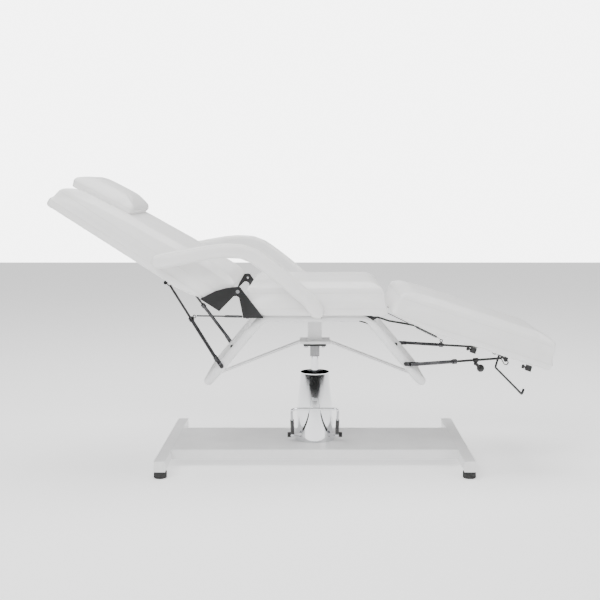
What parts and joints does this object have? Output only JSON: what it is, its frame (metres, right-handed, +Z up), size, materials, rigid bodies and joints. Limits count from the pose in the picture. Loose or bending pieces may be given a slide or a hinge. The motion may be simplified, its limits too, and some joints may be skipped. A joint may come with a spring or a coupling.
{
  "type": "facial treatment bed",
  "caption": "Reclining facial treatment bed with back, seat and leg cushions, arched armrests and head pillow on a hydraulic swivel pedestal with an H-shaped base and pump pedal.",
  "frame": {"origin": "on the floor under the middle of the bed's overall length and width, in the stored pose", "axes": "+Z up, +X towards the foot end, -X towards the head end, -Y the side with the pedal"},
  "size_m": [1.7314, 0.62, 1.0047],
  "materials": {
    "upholstery": "satin",
    "board": "matte",
    "white_paint": "gloss",
    "black_paint": "satin",
    "chrome": "polished",
    "steel": "satin",
    "grey_metal": "satin",
    "black_rubber": "matte",
    "black_plastic": "satin",
    "white_plastic": "satin",
    "wire": "satin",
    "spring_steel": "satin"
  },
  "bodies": {
    "base": {"base_pan": "white_paint", "cross_tube_head": "white_paint", "cross_tube_foot": "white_paint", "tube_end_caps": "white_plastic", "rubber_feet": "black_rubber", "pump_flange": "black_paint", "pump_cylinder": "black_paint", "pump_shroud": "chrome", "pump_bolts": "steel"},
    "pedal": {"pedal_loop": "chrome", "pedal_axle": "steel", "pedal_end_sleeves": "black_plastic"},
    "lift": {"piston_rod": "chrome", "swivel_collar": "grey_metal"},
    "seat": {"mounting_plate": "black_paint", "mounting_bolts": "steel", "seat_post": "white_paint", "truss_bars": "white_paint", "frame_near": "white_paint", "frame_far": "white_paint", "frame_foot_bars": "white_paint", "frame_ties": "white_paint", "seat_board": "board", "seat_cushion": "upholstery", "seat_hinge_plates": "black_paint", "hinge_bolts": "steel", "strut_bolts": "black_paint", "arm_brackets": "black_paint", "leg_hinge_pins": "black_paint", "back_spring": "spring_steel", "leg_spring": "spring_steel"},
    "backrest": {"back_board": "board", "back_cushion": "upholstery", "back_hinge_plates": "black_paint", "back_strut_bar": "black_paint", "arm_slide_pins": "white_paint"},
    "pillow": {"head_pillow": "upholstery"},
    "arm_near_side": {"armrest_near": "upholstery", "arm_bar_near": "white_paint"},
    "arm_far_side": {"armrest_far": "upholstery", "arm_bar_far": "white_paint"},
    "back_strut_tube_near": {"back_tube_near": "chrome"},
    "back_strut_tube_far": {"back_tube_far": "chrome"},
    "back_strut_rod_near": {"back_rod_near": "black_paint"},
    "back_strut_rod_far": {"back_rod_far": "black_paint"},
    "leg_strut_tube_near": {"leg_tube_near": "chrome"},
    "leg_strut_tube_far": {"leg_tube_far": "chrome"},
    "leg_strut_rod_near": {"leg_rod_near": "black_paint"},
    "leg_strut_rod_far": {"leg_rod_far": "black_paint"},
    "back_ring": {"back_pull_ring": "black_paint"},
    "leg_ring": {"leg_pull_ring": "black_paint"},
    "lever": {"lock_lever": "black_plastic"},
    "legrest": {"leg_board": "board", "leg_cushion": "upholstery", "leg_hinge_straps": "black_paint", "leg_strut_bar": "black_paint", "accessory_sockets": "black_plastic", "thumb_screws": "black_plastic"},
    "holder": {"roll_holder": "wire"}
  },
  "joints": [
    {"name": "pedal_press", "type": "hinge", "parent": "base", "child": "pedal", "pos_m": [0.038, -0.045, 0.0826], "axis": [1, 0, 0], "range_deg": [-8, 30], "stiffness_Nm_per_rad": 10, "springref_deg": -1.78},
    {"name": "lift_height", "type": "slide", "parent": "base", "child": "lift", "axis": [0, 0, 1], "range_m": [-0.05, 0.11]},
    {"name": "seat_swivel", "type": "hinge", "parent": "lift", "child": "seat", "pos_m": [0.038, 0, 0.39], "axis": [0, 0, 1], "continuous": true},
    {"name": "back_recline", "type": "hinge", "parent": "seat", "child": "backrest", "pos_m": [-0.22, 0, 0.613], "axis": [0, 1, 0], "range_deg": [-32.5, 26]},
    {"name": "pillow_slide", "type": "slide", "parent": "backrest", "child": "pillow", "axis": [0.8886, 0, -0.4587], "range_m": [0, 0.06]},
    {"name": "arm_near_swing", "type": "hinge", "parent": "seat", "child": "arm_near_side", "pos_m": [0.05, -0.2555, 0.548], "axis": [0, 1, 0], "range_deg": [-16.79, 13.44]},
    {"name": "arm_far_swing", "type": "hinge", "parent": "seat", "child": "arm_far_side", "pos_m": [0.05, 0.2555, 0.548], "axis": [0, 1, 0], "range_deg": [-16.79, 13.44]},
    {"name": "back_strut_near_swing", "type": "hinge", "parent": "seat", "child": "back_strut_tube_near", "pos_m": [-0.276, -0.243, 0.358], "axis": [0, 1, 0], "range_deg": [-15.49, 12.4], "deforming": ["back_spring"]},
    {"name": "back_strut_near_extend", "type": "slide", "parent": "back_strut_tube_near", "child": "back_strut_rod_near", "axis": [-0.5511, 0.2635, 0.7917], "range_m": [-0.11417, 0.09136]},
    {"name": "leg_strut_near_swing", "type": "hinge", "parent": "seat", "child": "leg_strut_tube_near", "pos_m": [0.345, -0.246, 0.366], "axis": [0, 1, 0], "range_deg": [-23.18, 23.18]},
    {"name": "leg_strut_near_extend", "type": "slide", "parent": "leg_strut_tube_near", "child": "leg_strut_rod_near", "axis": [0.9328, 0.3605, -0.0009], "range_m": [-0.05062, 0.05062]},
    {"name": "back_strut_far_swing", "type": "hinge", "parent": "seat", "child": "back_strut_tube_far", "pos_m": [-0.276, 0.243, 0.358], "axis": [0, 1, 0], "range_deg": [-15.49, 12.4]},
    {"name": "back_strut_far_extend", "type": "slide", "parent": "back_strut_tube_far", "child": "back_strut_rod_far", "axis": [-0.5511, -0.2635, 0.7917], "range_m": [-0.11417, 0.09136]},
    {"name": "leg_strut_far_swing", "type": "hinge", "parent": "seat", "child": "leg_strut_tube_far", "pos_m": [0.345, 0.246, 0.366], "axis": [0, 1, 0], "range_deg": [-23.18, 23.18], "deforming": ["leg_spring"]},
    {"name": "leg_strut_far_extend", "type": "slide", "parent": "leg_strut_tube_far", "child": "leg_strut_rod_far", "axis": [0.9328, -0.3605, -0.0009], "range_m": [-0.05062, 0.05062]},
    {"name": "back_ring_pull", "type": "slide", "parent": "back_strut_tube_near", "child": "back_ring", "axis": [0.7143, -0.3415, 0.6109], "range_m": [0, 0.004], "stiffness_N_per_m": 300},
    {"name": "leg_ring_pull", "type": "slide", "parent": "leg_strut_tube_far", "child": "leg_ring", "axis": [0.0008, -0.0003, 1], "range_m": [0, 0.004], "stiffness_N_per_m": 300},
    {"name": "lever_squeeze", "type": "hinge", "parent": "leg_strut_rod_near", "child": "lever", "pos_m": [0.5931, -0.15011, 0.35377], "axis": [-0.3605, 0.9328, 0], "range_deg": [-15, 0], "stiffness_Nm_per_rad": 0.5},
    {"name": "leg_tilt", "type": "hinge", "parent": "seat", "child": "legrest", "pos_m": [0.246, 0, 0.529], "axis": [0, 1, 0], "range_deg": [-18, 18]},
    {"name": "holder_pull_out", "type": "slide", "parent": "legrest", "child": "holder", "axis": [-0.309, 0, -0.9511], "range_m": [0, 0.01]}
  ],
  "couplings": [
    {"joint": "arm_near_swing", "follows": "back_recline", "ratio": 0.515},
    {"joint": "back_strut_near_swing", "follows": "back_recline", "ratio": 0.475},
    {"joint": "back_strut_near_extend", "follows": "back_recline", "m_per_rad": 0.2011},
    {"joint": "leg_strut_near_swing", "follows": "leg_tilt", "ratio": 1.285},
    {"joint": "leg_strut_near_extend", "follows": "leg_tilt", "m_per_rad": -0.1608},
    {"joint": "arm_far_swing", "follows": "back_recline", "ratio": 0.515},
    {"joint": "back_strut_far_swing", "follows": "back_recline", "ratio": 0.475},
    {"joint": "back_strut_far_extend", "follows": "back_recline", "m_per_rad": 0.2011},
    {"joint": "leg_strut_far_swing", "follows": "leg_tilt", "ratio": 1.285},
    {"joint": "leg_strut_far_extend", "follows": "leg_tilt", "m_per_rad": -0.1608}
  ]
}
